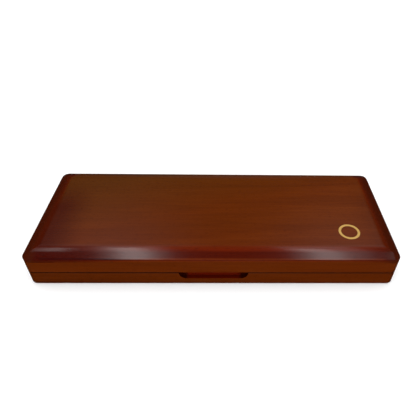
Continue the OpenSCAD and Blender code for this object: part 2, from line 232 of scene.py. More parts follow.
def moulding_stain_and_highlight(tree, spot, wood_tone):
    """The deeper stain on the lid's sloped border, and a painted highlight along its arris."""
    height = add(
        tree,
        "ShaderNodeMapRange",
        {"From Min": MOULDING_FOOT, "From Max": LID_TOP},
        {"Value": spot.outputs["Z"]},
    )
    slope = add(tree, "ShaderNodeValToRGB", links={"Fac": height.outputs["Result"]})
    set_stops(slope, MOULDING_STAIN)
    # The back run takes little of it and stays lighter
    off_middle = add(tree, "ShaderNodeMath", links={0: spot.outputs["X"]}, operation="ABSOLUTE")
    at_ends = add(tree, "ShaderNodeMapRange", END_SLOPES, {"Value": off_middle.outputs["Value"]})
    back_share = add(tree, "ShaderNodeMapRange", BACK_RUN_SHARE, {"Value": spot.outputs["Y"]})
    share = add(
        tree,
        "ShaderNodeMath",
        links={0: at_ends.outputs["Result"], 1: back_share.outputs["Result"]},
        operation="MAXIMUM",
    )
    amount = add(
        tree,
        "ShaderNodeMath",
        links={0: share.outputs["Value"], 1: slope.outputs["Alpha"]},
        operation="MULTIPLY",
    )
    coloured = add(
        tree,
        "ShaderNodeMix",
        links={"Factor": amount.outputs["Value"], "A": wood_tone, "B": slope.outputs["Color"]},
        data_type="RGBA",
    )
    # The extra stain of the ends also bleeds into the flat, further at the left and less towards the back
    from_right = add(tree, "ShaderNodeMath", {1: BLEED_SHIFT}, {0: spot.outputs["X"]}, operation="SUBTRACT")
    off_centre = add(tree, "ShaderNodeMath", links={0: from_right.outputs["Value"]}, operation="ABSOLUTE")
    bled = add(
        tree,
        "ShaderNodeMapRange",
        BLED_IN,
        {"Value": off_centre.outputs["Value"]},
        interpolation_type="SMOOTHSTEP",
    )
    forward = add(tree, "ShaderNodeMapRange", BLED_BACK, {"Value": spot.outputs["Y"]})
    bled = add(
        tree,
        "ShaderNodeMath",
        links={0: bled.outputs["Result"], 1: forward.outputs["Result"]},
        operation="MULTIPLY",
    )
    place = add(
        tree,
        "ShaderNodeMapRange",
        {"From Min": -HALF_L, "From Max": HALF_L},
        {"Value": spot.outputs["X"]},
    )
    along = add(tree, "ShaderNodeValToRGB", links={"Fac": place.outputs["Result"]})
    set_stops(along, ALONG_STAIN)
    reach = add(
        tree,
        "ShaderNodeMath",
        links={0: bled.outputs["Value"], 1: amount.outputs["Value"]},
        operation="MAXIMUM",
    )
    more = add(
        tree,
        "ShaderNodeMath",
        links={0: reach.outputs["Value"], 1: along.outputs["Alpha"]},
        operation="MULTIPLY",
    )
    deepened = add(
        tree,
        "ShaderNodeMix",
        links={"Factor": more.outputs["Value"], "A": coloured.outputs["Result"], "B": along.outputs["Color"]},
        data_type="RGBA",
    )
    # The arris: a band that fades out above and below it, dark near its left end and a painted highlight
    # along the rest
    off_arris = add(
        tree,
        "ShaderNodeMath",
        {1: ARRIS_HEIGHT},
        {0: spot.outputs["Z"]},
        operation="SUBTRACT",
    )
    distance = add(tree, "ShaderNodeMath", links={0: off_arris.outputs["Value"]}, operation="ABSOLUTE")
    near = add(tree, "ShaderNodeMapRange", NEAR_ARRIS, {"Value": distance.outputs["Value"]})
    arris = add(tree, "ShaderNodeValToRGB", links={"Fac": place.outputs["Result"]})
    set_stops(arris, ARRIS_DARK_AND_HIGHLIGHT)
    showing = add(
        tree,
        "ShaderNodeMath",
        links={0: near.outputs["Result"], 1: arris.outputs["Alpha"]},
        operation="MULTIPLY",
    )
    arris_marked = add(
        tree,
        "ShaderNodeMix",
        links={"Factor": showing.outputs["Value"], "A": deepened.outputs["Result"], "B": arris.outputs["Color"]},
        data_type="RGBA",
    )
    return arris_marked.outputs["Result"]


def side_stain_and_shade(tree, spot, wood_tone):
    """The stain on the outer faces of the rails, darkened by painted shade towards their foot and along the
    line where lid and base part, and the deep red inside the finger notch, with painted shade at its ends.
    """
    # The rails' outer faces are a round-cornered rectangle on plan
    beyond = add(tree, "ShaderNodeCombineXYZ")
    for axis, half in (("X", HALF_L), ("Y", HALF_W)):
        size = add(tree, "ShaderNodeMath", links={0: spot.outputs[axis]}, operation="ABSOLUTE")
        past = add(
            tree,
            "ShaderNodeMath",
            {1: half - CASE_CORNER},
            {0: size.outputs["Value"]},
            operation="SUBTRACT",
            use_clamp=True,
        )
        tree.links.new(past.outputs["Value"], beyond.inputs[axis])
    reach = add(tree, "ShaderNodeVectorMath", links={0: beyond.outputs["Vector"]}, operation="LENGTH")
    outer = add(
        tree,
        "ShaderNodeMath",
        {1: CASE_CORNER - SKIN},
        {0: reach.outputs["Value"]},
        operation="GREATER_THAN",
    )
    height = add(tree, "ShaderNodeMapRange", {"From Max": SIDE_TOP}, {"Value": spot.outputs["Z"]})
    side = add(tree, "ShaderNodeValToRGB", links={"Fac": height.outputs["Result"]})
    set_stops(side, SIDE_STAIN_AND_SHADE)
    amount = add(
        tree,
        "ShaderNodeMath",
        links={0: outer.outputs["Value"], 1: side.outputs["Alpha"]},
        operation="MULTIPLY",
    )
    # It fades out towards the right, so the sides are lighter there
    thinning = add(tree, "ShaderNodeMapRange", SIDES_THINNING, {"Value": spot.outputs["X"]})
    amount = add(
        tree,
        "ShaderNodeMath",
        links={0: amount.outputs["Value"], 1: thinning.outputs["Result"]},
        operation="MULTIPLY",
    )
    coloured = add(
        tree,
        "ShaderNodeMix",
        links={"Factor": amount.outputs["Value"], "A": wood_tone, "B": side.outputs["Color"]},
        data_type="RGBA",
    )
    # A dark line of painted shade where lid and base part, thinning out past the front corners
    seam = add(
        tree,
        "ShaderNodeMath",
        {1: JOINT_HEIGHT, 2: SEAM_HALF_W},
        {0: spot.outputs["Z"]},
        operation="COMPARE",
    )
    left_over = add(tree, "ShaderNodeMapRange", SEAM_THINNING, {"Value": spot.outputs["Y"]})
    on_seam = add(
        tree,
        "ShaderNodeMath",
        links={0: seam.outputs["Value"], 1: outer.outputs["Value"]},
        operation="MULTIPLY",
    )
    seam_shaded = add(
        tree,
        "ShaderNodeMath",
        links={0: on_seam.outputs["Value"], 1: left_over.outputs["Result"]},
        operation="MULTIPLY",
    )
    coloured = add(
        tree,
        "ShaderNodeMix",
        {"B": srgb(SEAM_SHADE)},
        {"Factor": seam_shaded.outputs["Value"], "A": coloured.outputs["Result"]},
        data_type="RGBA",
    )
    # Inside the notch: a deep red stain, darkened with painted shade, most at its ends
    in_x, in_y, in_z = [
        add(tree, "ShaderNodeMath", {1: middle, 2: half}, {0: spot.outputs[axis]}, operation="COMPARE")
        for axis, middle, half in NOTCH_ROOM
    ]
    some = add(tree, "ShaderNodeMath", {1: NOTCH_COVER}, {0: in_x.outputs["Value"]}, operation="MULTIPLY")
    for within in (in_y, in_z):
        both = {0: some.outputs["Value"], 1: within.outputs["Value"]}
        some = add(tree, "ShaderNodeMath", links=both, operation="MULTIPLY")
    off_middle = add(tree, "ShaderNodeMath", links={0: spot.outputs["X"]}, operation="ABSOLUTE")
    to_end = add(
        tree,
        "ShaderNodeMapRange",
        {"From Max": NOTCH_HALF_L},
        {"Value": off_middle.outputs["Value"]},
    )
    red = add(tree, "ShaderNodeValToRGB", links={"Fac": to_end.outputs["Result"]})
    set_stops(red, NOTCH_RED_AND_SHADE)
    reddened = add(
        tree,
        "ShaderNodeMix",
        links={"Factor": some.outputs["Value"], "A": coloured.outputs["Result"], "B": red.outputs["Color"]},
        data_type="RGBA",
    )
    return reddened.outputs["Result"]


def lacquered_wood(name, along_y=False, moulding=False):
    """Red-brown hardwood, stained and clear lacquered, rubbed to a soft gloss.

    Fine straight grain runs along the piece and long faint bands give it depth. The lacquer is a coat of its
    own, so highlights are smooth while the colour stays in the wood. The stain is deeper and redder on the
    moulding and in the notch, where the cut wood drank more of it. Painted shade darkens the back left of the
    flat, the foot of the sides, the line where lid and base part and the notch, most at its ends, and a
    painted highlight lightens the arris.
    """
    material, tree = new_material(name)
    place = add(tree, "ShaderNodeTexCoord")
    grain = along_grain(tree, place, along_y)
    # Bands 110 mm long and 9 mm wide
    bands = pattern(tree, grain, (110, 9, 9), Detail=3.0, Roughness=0.55, Distortion=0.5)
    # Grain lines 32 mm long and 0.8 mm wide: the real ones are half that, and wouldn't show
    lines = pattern(tree, grain, (32, 0.8, 0.8), Detail=2.0, Roughness=0.6)
    # Pores 3 mm long and 0.25 mm wide
    pores = pattern(tree, grain, (3, 0.25, 0.25), Detail=1.0)
    wood_tone = add(tree, "ShaderNodeValToRGB", links={"Fac": bands.outputs["Fac"]})
    set_stops(wood_tone, BANDS_STAIN)
    # The flat is darker and browner towards the back left: painted shade where less light falls, and a
    # browner tone
    lean = add(
        tree,
        "ShaderNodeVectorMath",
        {1: BACK_LEFT},
        {0: place.outputs["Object"]},
        operation="DOT_PRODUCT",
    )
    back_left_shade = add(tree, "ShaderNodeMapRange", BACK_LEFT_REACH, {"Value": lean.outputs["Value"]})
    wood_tone = add(
        tree,
        "ShaderNodeMix",
        {"B": srgb(BACK_LEFT_SHADED_BROWN)},
        {"Factor": back_left_shade.outputs["Result"], "A": wood_tone.outputs["Color"]},
        data_type="RGBA",
    )
    spot = add(tree, "ShaderNodeSeparateXYZ", links={"Vector": place.outputs["Object"]})
    # and redder towards the front
    nearness = add(tree, "ShaderNodeMapRange", FRONT_REACH, {"Value": spot.outputs["Y"]})
    wood_tone = add(
        tree,
        "ShaderNodeMix",
        {"B": srgb(FRONT_RED)},
        {"Factor": nearness.outputs["Result"], "A": wood_tone.outputs["Result"]},
        data_type="RGBA",
    )
    deepen = moulding_stain_and_highlight if moulding else side_stain_and_shade
    line_tone = add(tree, "ShaderNodeValToRGB", links={"Fac": lines.outputs["Fac"]})
    set_stops(line_tone, [(0.3, "#eeeae8"), (0.62, "#ffffff")])
    lined = add(
        tree,
        "ShaderNodeMix",
        {"Factor": 1.0},
        {"A": deepen(tree, spot, wood_tone.outputs["Result"]), "B": line_tone.outputs["Color"]},
        data_type="RGBA",
        blend_type="MULTIPLY",
    )
    pore_tone = add(tree, "ShaderNodeValToRGB", links={"Fac": pores.outputs["Fac"]})
    set_stops(pore_tone, [(0.28, "#d0c6c0"), (0.4, "#ffffff")])
    colour = add(
        tree,
        "ShaderNodeMix",
        {"Factor": 1.0},
        {"A": lined.outputs["Result"], "B": pore_tone.outputs["Color"]},
        data_type="RGBA",
        blend_type="MULTIPLY",
    )
    ripple = add(
        tree,
        "ShaderNodeBump",
        {"Strength": 0.12, "Distance": 0.02 * MM},
        {"Height": lines.outputs["Fac"]},
    )
    wood = add(
        tree,
        "ShaderNodeBsdfPrincipled",
        {
            "Roughness": 0.5,
            "IOR": 1.5,
            "Specular IOR Level": 0.0,
            "Coat Weight": 1.0,
            "Coat Roughness": 0.14,
            "Coat IOR": 1.5,
        },
        {"Base Color": colour.outputs["Result"], "Coat Normal": ripple.outputs["Normal"]},
    )
    add(tree, "ShaderNodeOutputMaterial", links={"Surface": wood.outputs["BSDF"]})
    return material


def dark_satin_wood(name, along_y=False):
    """The same hardwood stained nearly black-brown under a thin satin varnish, as inner lips are."""
    material, tree = new_material(name)
    place = add(tree, "ShaderNodeTexCoord")
    # Grain 40 mm long and 0.9 mm wide
    grain = pattern(tree, along_grain(tree, place, along_y), (40, 0.9, 0.9), Detail=4.0, Roughness=0.6)
    tone = add(tree, "ShaderNodeValToRGB", links={"Fac": grain.outputs["Fac"]})
    set_stops(tone, [(0.3, "#2a0f05"), (0.7, "#43190a")])
    wood = add(
        tree,
        "ShaderNodeBsdfPrincipled",
        {"Roughness": 0.4, "IOR": 1.45, "Coat Weight": 0.3, "Coat Roughness": 0.3},
        {"Base Color": tone.outputs["Color"]},
    )
    add(tree, "ShaderNodeOutputMaterial", links={"Surface": wood.outputs["BSDF"]})
    return material


def cotton_velvet(name):
    """Black cotton velvet glued over the shaped bed.

    The pile drinks the light seen from above and glows at a low angle, and brushed patches catch it
    differently.
    """
    material, tree = new_material(name)
    place = add(tree, "ShaderNodeTexCoord")
    # Brushed patches 14 mm long and 9 mm wide
    patches = pattern(
        tree, place.outputs["Object"], (14, 9, 9), Detail=3.0, Roughness=0.6, Distortion=0.8
    )
    # Tufts of pile 0.35 mm across: the real ones are a third of that
    tufts = pattern(tree, place.outputs["Object"], (0.35,) * 3, Detail=2.0)
    tone = add(tree, "ShaderNodeValToRGB", links={"Fac": patches.outputs["Fac"]})
    set_stops(tone, [(0.3, "#121013"), (0.7, "#221e23")])
    speck = add(tree, "ShaderNodeValToRGB", links={"Fac": tufts.outputs["Fac"]})
    set_stops(speck, [(0.3, "#9a969b"), (0.7, "#ffffff")])
    colour = add(
        tree,
        "ShaderNodeMix",
        {"Factor": 1.0},
        {"A": tone.outputs["Color"], "B": speck.outputs["Color"]},
        data_type="RGBA",
        blend_type="MULTIPLY",
    )
    pile = add(
        tree,
        "ShaderNodeBump",
        {"Strength": 0.6, "Distance": 0.15 * MM},
        {"Height": tufts.outputs["Fac"]},
    )
    cloth = add(
        tree,
        "ShaderNodeBsdfPrincipled",
        {
            "Roughness": 0.95,
            "Specular IOR Level": 0.1,
            "Sheen Weight": 0.8,
            "Sheen Roughness": 0.4,
            "Sheen Tint": srgb("#a79cab"),
        },
        {"Base Color": colour.outputs["Result"], "Normal": pile.outputs["Normal"]},
    )
    add(tree, "ShaderNodeOutputMaterial", links={"Surface": cloth.outputs["BSDF"]})
    return material


def champagne_satin(name):
    """Champagne satin: long floating threads that stretch each highlight along the weave."""
    material, tree = new_material(name)
    place = add(tree, "ShaderNodeTexCoord")
    # Threads 0.5 mm apart and afloat for 6 mm: real satin has ten to the millimetre, too fine to show
    threads = pattern(tree, place.outputs["Object"], (6, 0.5, 0.5), Detail=2.0, Roughness=0.5)
    tone = add(tree, "ShaderNodeValToRGB", links={"Fac": threads.outputs["Fac"]})
    set_stops(tone, [(0.3, "#d9c9a8"), (0.7, "#e3d5b7")])
    weave = add(
        tree,
        "ShaderNodeBump",
        {"Strength": 0.12, "Distance": 0.05 * MM},
        {"Height": threads.outputs["Fac"]},
    )
    cloth = add(
        tree,
        "ShaderNodeBsdfPrincipled",
        {
            "Roughness": 0.38,
            "Specular IOR Level": 0.6,
            "Anisotropic": 0.5,
            "Sheen Weight": 0.25,
            "Sheen Roughness": 0.3,
            "Sheen Tint": srgb("#fff6e2"),
        },
        {"Base Color": tone.outputs["Color"], "Normal": weave.outputs["Normal"]},
    )
    add(tree, "ShaderNodeOutputMaterial", links={"Surface": cloth.outputs["BSDF"]})
    return material


def wool_baize(name):
    """Dark green wool baize: matt, faintly mottled, with a short fuzz."""
    material, tree = new_material(name)
    place = add(tree, "ShaderNodeTexCoord")
    # Fibres matted in clumps 0.6 mm across
    clumps = pattern(tree, place.outputs["Object"], (0.6,) * 3, Detail=5.0, Roughness=0.7)
    tone = add(tree, "ShaderNodeValToRGB", links={"Fac": clumps.outputs["Fac"]})
    set_stops(tone, [(0.3, "#142a1e"), (0.7, "#24452f")])
    fuzz = add(
        tree,
        "ShaderNodeBump",
        {"Strength": 0.7, "Distance": 0.1 * MM},
        {"Height": clumps.outputs["Fac"]},
    )
    cloth = add(
        tree,
        "ShaderNodeBsdfPrincipled",
        {
            "Roughness": 1.0,
            "Specular IOR Level": 0.1,
            "Sheen Weight": 0.4,
            "Sheen Roughness": 0.6,
            "Sheen Tint": srgb("#8fb39b"),
        },
        {"Base Color": tone.outputs["Color"], "Normal": fuzz.outputs["Normal"]},
    )
    add(tree, "ShaderNodeOutputMaterial", links={"Surface": cloth.outputs["BSDF"]})
    return material


def pressed_board(name, dark, light):
    """Pressed board or card: matt, with a faint fleck of fibre."""
    material, tree = new_material(name)
    place = add(tree, "ShaderNodeTexCoord")
    # Flecks 1.2 mm across
    flecks = pattern(tree, place.outputs["Object"], (1.2,) * 3, Detail=4.0, Roughness=0.7)
    tone = add(tree, "ShaderNodeValToRGB", links={"Fac": flecks.outputs["Fac"]})
    set_stops(tone, [(0.35, dark), (0.65, light)])
    board = add(
        tree,
        "ShaderNodeBsdfPrincipled",
        {"Roughness": 0.85},
        {"Base Color": tone.outputs["Color"]},
    )
    add(tree, "ShaderNodeOutputMaterial", links={"Surface": board.outputs["BSDF"]})
    return material


SMOOTHEST, ROUGHEST = 0.8, 1.25  # between the marks and in them, times a metal's roughness


def worked_metal(name, dark, light, rough, mark_mm, showing):
    """Metal with fine rubbing marks along X, which streak its highlights.

    No finish here is quite bare. A film of lacquer, wax or dulled plating scatters some light, so the metal
    keeps its colour where it mirrors nothing.
    """
    material, tree = new_material(name)
    place = add(tree, "ShaderNodeTexCoord")
    # Marks 4 mm long
    marks = pattern(tree, place.outputs["Object"], (4, mark_mm, mark_mm), Detail=3.0, Roughness=0.6)
    tone = add(tree, "ShaderNodeValToRGB", links={"Fac": marks.outputs["Fac"]})
    set_stops(tone, [(0.3, dark), (0.7, light)])
    shine = add(
        tree,
        "ShaderNodeMapRange",
        {"To Min": rough * SMOOTHEST, "To Max": rough * ROUGHEST},
        {"Value": marks.outputs["Fac"]},
    )
    metal = add(
        tree,
        "ShaderNodeBsdfPrincipled",
        {"Metallic": showing},
        {"Base Color": tone.outputs["Color"], "Roughness": shine.outputs["Result"]},
    )
    add(tree, "ShaderNodeOutputMaterial", links={"Surface": metal.outputs["BSDF"]})
    return material


# ---- Frame parts ----


SMOOTH_UP_TO = math.cos(math.radians(24))
SAME_SIDE = math.cos(math.radians(35))


def smooth_mouldings(name):
    """Lets light run round a frame part's curves without a step at each facet.

    Each corner of a facet takes the mean direction of the facets that meet it there at a slight angle and
    look the same way round, so a moulding's two runs don't bend each other's light at a mitre.
    """
    mesh = nodes[name].data
    count = len(mesh.polygons)
    facing = np.empty(count * 3)
    mesh.polygons.foreach_get("normal", facing)
    facing = facing.reshape(-1, 3)
    area = np.empty(count)
    mesh.polygons.foreach_get("area", area)
    # Triangles of one flat count as one facet
    flat = np.unique(np.round(facing, 3), axis=0, return_inverse=True)[1].ravel()
    flat_area = np.bincount(flat, weights=area)
    heading = facing[:, :2] / np.maximum(np.linalg.norm(facing[:, :2], axis=1), 1e-9)[:, None]
    level = np.abs(facing[:, 2]) > 0.9999
    places = np.round(points_of(mesh) / (0.001 * MM)).astype(int)
    place_of = np.unique(places, axis=0, return_inverse=True)[1].ravel()
    meeting = {}
    for face in mesh.polygons:
        for point in face.vertices:
            meeting.setdefault(place_of[point], {})[flat[face.index]] = face.index
    corner_normals = []
    for face in mesh.polygons:
        i = face.index
        for point in face.vertices:
            total = np.zeros(3)
            for other_flat, j in meeting[place_of[point]].items():
                bend = facing[i] @ facing[j]
                alike = level[i] or level[j] or heading[i] @ heading[j] > SAME_SIDE
                if bend > SMOOTH_UP_TO and alike:
                    total += facing[j] * flat_area[other_flat]
            corner_normals.append(tuple(total / np.linalg.norm(total)))
    mesh.polygons.foreach_set("use_smooth", [True] * count)
    mesh.normals_split_custom_set(corner_normals)


HINGE_PARTS = ("base_leaf", "lid_leaf", "hinge_pin")
HINGES = [f"{side}_{part}" for side in ("left", "right") for part in HINGE_PARTS]
# Parts, finish, its darker and lighter colour, roughness, width of the marks in millimetres, how bare it is
METALS = [
    (HINGES, "lacquered_brushed_brass", "#b98f3c", "#d9b25c", 0.32, 0.12, 0.55),
    (["base_screws", "lid_screws"], "turned_brass_screws", "#c49a45", "#e2be6c", 0.25, 0.2, 0.6),
    (["inlay_ring"], "lacquered_brass_inlay", "#bf9346", "#d4ad5e", 0.45, 0.15, 0.2),
    (["left_magnet", "right_magnet"], "nickel_plated_magnet", "#b9b4a8", "#d6d2c8", 0.18, 0.3, 0.6),
    (["left_strike", "right_strike"], "zinc_plated_steel", "#9fa3a8", "#c3c7cb", 0.35, 0.2, 0.6),
]


def dress_frame():
    """Gives every frame part that stays its finish."""
    straight = lacquered_wood("lacquered_wood_rails")
    across = lacquered_wood("lacquered_wood_ends", along_y=True)
    panel = lacquered_wood("lacquered_wood_panel", moulding=True)
    dress(["base_front_rail", "base_back_rail", "lid_front_rail", "lid_back_rail"], straight)
    dress(["base_left_rail", "base_right_rail", "lid_left_rail", "lid_right_rail"], across)
    dress(["lid_top_panel"], panel)
    dress(["front_lip", "back_lip"], dark_satin_wood("satin_stained_lip"))
    dress(["left_lip", "right_lip"], dark_satin_wood("satin_stained_end_lip", along_y=True))
    dress(["floor_panel"], pressed_board("hardboard_floor", "#3a2114", "#4c2d1b"))
    dress(["lining_board"], pressed_board("grey_card_lining", "#7d705c", "#94866f"))
    for names, *finish in METALS:
        dress(names, worked_metal(*finish))
    for name in nodes:
        if nodes[name].data.materials[0].name.startswith(("lacquered_wood", "satin_stained")):
            smooth_mouldings(name)


# ---- Velvet bed ----


BED_HALF_L = 99.9 * MM
BED_HALF_W = 31.9 * MM
BED_FOOT = 3.2 * MM
BED_TOP = 9.4 * MM
TROUGH_R = 7.55 * MM
TROUGH_AXIS = 11.75 * MM
TROUGH_HALF_L = 76.8 * MM
TROUGH_END_R = 5 * MM
SCOOP_HALF_W = 15 * MM
SCOOP_DEPTH = 4.4 * MM
SCOOP_R = (SCOOP_HALF_W**2 + SCOOP_DEPTH**2) / (2 * SCOOP_DEPTH)
LIP_ROUND = 1.3 * MM  # how softly the cloth turns over the edge of the trough
SIDE_ROUND = 1.4 * MM  # and over the outer edges of the bed
SIDE_ROWS = 6  # rows of points round each of those edges
STEP_X = 1.0 * MM
STEP_Y = 0.45 * MM


def soft_lower(a, b, blend):
    """The lower of two surfaces, with the edge between them rounded."""
    share = np.clip(0.5 + 0.5 * (b - a) / blend, 0, 1)
    return b * (1 - share) + a * share - blend * share * (1 - share) * 0.5


def bed_height(x, y):
    """Height of the velvet over a place on the bed."""
    past = np.clip((np.abs(x) - (TROUGH_HALF_L - TROUGH_END_R)) / TROUGH_END_R, 0, 1)
    radius = TROUGH_R - TROUGH_END_R * (1 - np.sqrt(1 - past**2))
    radius = np.where(np.abs(x) > TROUGH_HALF_L, 0, radius)
    trough = TROUGH_AXIS - np.sqrt(np.clip(radius**2 - y**2, 0, None))
    scoop_axis = BED_TOP - SCOOP_DEPTH + SCOOP_R
    scoop = scoop_axis - np.sqrt(np.clip(SCOOP_R**2 - x**2 - y**2, 0, None))
    height = soft_lower(np.full_like(x, BED_TOP), trough, LIP_ROUND)
    height = soft_lower(height, scoop, LIP_ROUND)
    inset = np.minimum(BED_HALF_L - np.abs(x), BED_HALF_W - np.abs(y))
    lean = np.clip(1 - inset / SIDE_ROUND, 0, 1)
    return height - SIDE_ROUND * (1 - np.sqrt(1 - lean**2))


def spaced(half, step):
    """Places across a width, closer together where the cloth turns down at the two edges."""
    plain = np.arange(-half + SIDE_ROUND, half - SIDE_ROUND + step / 2, step)
    edge = SIDE_ROUND * (1 - np.cos(np.linspace(0, np.pi / 2, SIDE_ROWS, endpoint=False)))
    return np.concatenate([-half + edge, plain, half - edge[::-1]])


def plain_piece(name, verts, faces, material):
    """A smooth-shaded object from points and faces, with its finish."""
    mesh = bpy.data.meshes.new(name)
    mesh.from_pydata(verts, [], faces)
    mesh.materials.append(material)
    mesh.polygons.foreach_set("use_smooth", [True] * len(mesh.polygons))
    mesh.update()
    return put_in(name, mesh)


def face_out(piece):
    """Turns every face of a closed piece outwards, and splits those with many corners."""
    shape = bmesh.new()
    shape.from_mesh(piece.data)
    bmesh.ops.triangulate(shape, faces=[face for face in shape.faces if len(face.verts) > 4])
    bmesh.ops.recalc_face_normals(shape, faces=shape.faces)
    shape.to_mesh(piece.data)
    shape.free()


def make_velvet_bed():
    """The pen bed: velvet over the shaped core, softly rounded at the trough, the scoop and the sides."""
    xs = spaced(BED_HALF_L, STEP_X)
    ys = spaced(BED_HALF_W, STEP_Y)
    grid_x, grid_y = np.meshgrid(xs, ys, indexing="ij")
    grid_z = bed_height(grid_x, grid_y)
    across = len(ys)
    count = grid_x.size
    verts = np.stack([grid_x.ravel(), grid_y.ravel(), grid_z.ravel()], axis=1).tolist()
    faces = [
        (i * across + j, (i + 1) * across + j, (i + 1) * across + j + 1, i * across + j + 1)
        for i in range(len(xs) - 1)
        for j in range(across - 1)
    ]
    rim = [i * across for i in range(len(xs))]
    rim += [(len(xs) - 1) * across + j for j in range(1, across)]
    rim += [i * across + across - 1 for i in range(len(xs) - 2, -1, -1)]
    rim += list(range(across - 2, 0, -1))
    verts += [(verts[k][0], verts[k][1], BED_FOOT) for k in rim]
    foot = list(range(count, count + len(rim)))
    faces += [(rim[k - 1], foot[k - 1], foot[k], rim[k]) for k in range(len(rim))]
    faces.append(tuple(foot))
    bed = plain_piece("velvet_bed", verts, faces, cotton_velvet("black_cotton_velvet"))
    face_out(bed)
    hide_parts("pen_bed")
    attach(bed, "base")


# ---- Satin cushion ----


CUSHION_HALF_L = 101.8 * MM
CUSHION_HALF_W = 33.8 * MM
CUSHION_LOW = 17.8 * MM
CUSHION_HIGH = 19.7 * MM
CUSHION_CORNER = 2 * MM
CORD_STRIP = 0.8 * MM  # left free round the cushion, where the cord lies
WAD_T = 1.0 * MM  # thickness before it swells
VOXEL = 0.9 * MM
SEWN_W = 0.6 * MM  # width that the stitches hold, and thickness that the board holds
CLEAR = 0.02 * MM  # left under the swelling
GATHER_W = 6 * MM
SETTLING_FRAMES = 20
KEPT_FACETS = 0.65  # the flat back needs few
CROWN = 0.55  # below 1 the pad rises steeply from its edges and then flattens
CORD_R = 0.75 * MM
CORD_GAP = 0.4 * MM  # how far the cord stands out past the cushion, towards the rails
CORD_TURN = 2.6 * MM  # length of one full twist
POINTS_PER_TURN = 10.0
STRAND_SIDES = 7
CORNER_POINTS = 8


def rounded_ring(half_l, half_w, corner, steps):
    """Places round a rectangle with rounded corners."""
    ring = []
    for sx, sy, start in ((1, 1, 0), (-1, 1, 90), (-1, -1, 180), (1, -1, 270)):
        for k in range(steps + 1):
            a = math.radians(start + 90 * k / steps)
            x = sx * (half_l - corner) + corner * math.cos(a)
            y = sy * (half_w - corner) + corner * math.sin(a)
            ring.append((x, y))
    return ring


def closed_body(name, rings, material):
    """A closed piece through rings of points, from the lowest to the highest."""
    shape = bmesh.new()
    rows = [[shape.verts.new(point) for point in ring] for ring in rings]
    shape.faces.new(rows[0][::-1])
    shape.faces.new(rows[-1])
    for low, high in zip(rows, rows[1:]):
        for k in range(len(low)):
            n = (k + 1) % len(low)
            shape.faces.new((low[k], low[n], high[n], high[k]))
    mesh = bpy.data.meshes.new(name)
    shape.to_mesh(mesh)
    shape.free()
    mesh.materials.append(material)
    return put_in(name, mesh)


def points_of(mesh):
    """A mesh's points as an array."""
    points = np.empty(len(mesh.vertices) * 3)
    mesh.vertices.foreach_get("co", points)
    return points.reshape(-1, 3)


def apply_modifiers(piece):
    """Turns a piece with its modifiers into a plain mesh."""
    view = bpy.context.evaluated_depsgraph_get()
    finished = bpy.data.meshes.new_from_object(piece.evaluated_get(view), depsgraph=view)
    piece.modifiers.clear()
    piece.data = finished


def make_satin_cushion():
    """The lid's padded lining: satin over a thin wad, held at its edges and swollen between them."""
    satin = champagne_satin("champagne_satin")
    start_low = CUSHION_HIGH - WAD_T
    half_l = CUSHION_HALF_L - CORD_STRIP
    half_w = CUSHION_HALF_W - CORD_STRIP
    ring = rounded_ring(half_l, half_w, CUSHION_CORNER, 6)
    rings = [[(x, y, z) for x, y in ring] for z in (start_low, CUSHION_HIGH)]
    cushion = closed_body("satin_cushion", rings, satin)
    remesh = cushion.modifiers.new("remesh", "REMESH")
    remesh.mode = "VOXEL"
    remesh.voxel_size = VOXEL
    remesh.use_smooth_shade = True
    apply_modifiers(cushion)
    rest = points_of(cushion.data)
    held = cushion.vertex_groups.new(name="held")
    inset = np.minimum(half_l - np.abs(rest[:, 0]), half_w - np.abs(rest[:, 1]))
    on_board = rest[:, 2] > start_low + SEWN_W
    fixed = np.flatnonzero(on_board | (inset < SEWN_W))
    held.add([int(k) for k in fixed], 1.0, "REPLACE")
    cloth = cushion.modifiers.new("cloth", "CLOTH")
    cloth.settings.quality = 6
    cloth.settings.mass = 0.02
    cloth.settings.tension_stiffness = 8
    cloth.settings.compression_stiffness = 8
    cloth.settings.shear_stiffness = 4
    cloth.settings.bending_stiffness = 0.05
    # Gathered: the cloth is cut full at its edges, which pucker, and lies smooth over the middle
    gathered = cushion.vertex_groups.new(name="gathered")
    for k, reach in enumerate(inset):
        gathered.add([k], max(0.0, 1.0 - reach / GATHER_W), "REPLACE")
    cloth.settings.vertex_group_shrink = "gathered"
    cloth.settings.shrink_min = -0.01
    cloth.settings.shrink_max = -0.1
    cloth.settings.vertex_group_mass = "held"
    cloth.settings.use_pressure = True
    cloth.settings.uniform_pressure_force = 4
    cloth.settings.effector_weights.gravity = 0
    cloth.collision_settings.use_collision = False
    scene = bpy.context.scene
    scene.frame_start, scene.frame_end = 1, SETTLING_FRAMES
    for step in range(1, SETTLING_FRAMES + 1):
        scene.frame_set(step)
    apply_modifiers(cushion)
    moved = points_of(cushion.data)
    travel = moved - rest
    length = np.linalg.norm(travel, axis=1)
    # The wad is thin: the swelling is scaled so that its highest point just fills the space the rails leave
    most = start_low - CUSHION_LOW - CLEAR
    share = length / max(length.max(), 1e-9)
    travel *= (most * share**CROWN / np.maximum(length, 1e-9))[:, None]
    moved = rest + travel
    moved[:, 2] = np.clip(moved[:, 2], CUSHION_LOW + CLEAR, CUSHION_HIGH)
    cushion.data.vertices.foreach_set("co", moved.ravel())
    cushion.data.update()
    subdivide = cushion.modifiers.new("finish", "SUBSURF")
    subdivide.levels = 1
    subdivide.render_levels = 1
    thin = cushion.modifiers.new("thin", "DECIMATE")
    thin.ratio = KEPT_FACETS
    apply_modifiers(cushion)
    cushion.data.polygons.foreach_set("use_smooth", [True] * len(cushion.data.polygons))
    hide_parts("lid_cushion")
    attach(cushion, "lid")


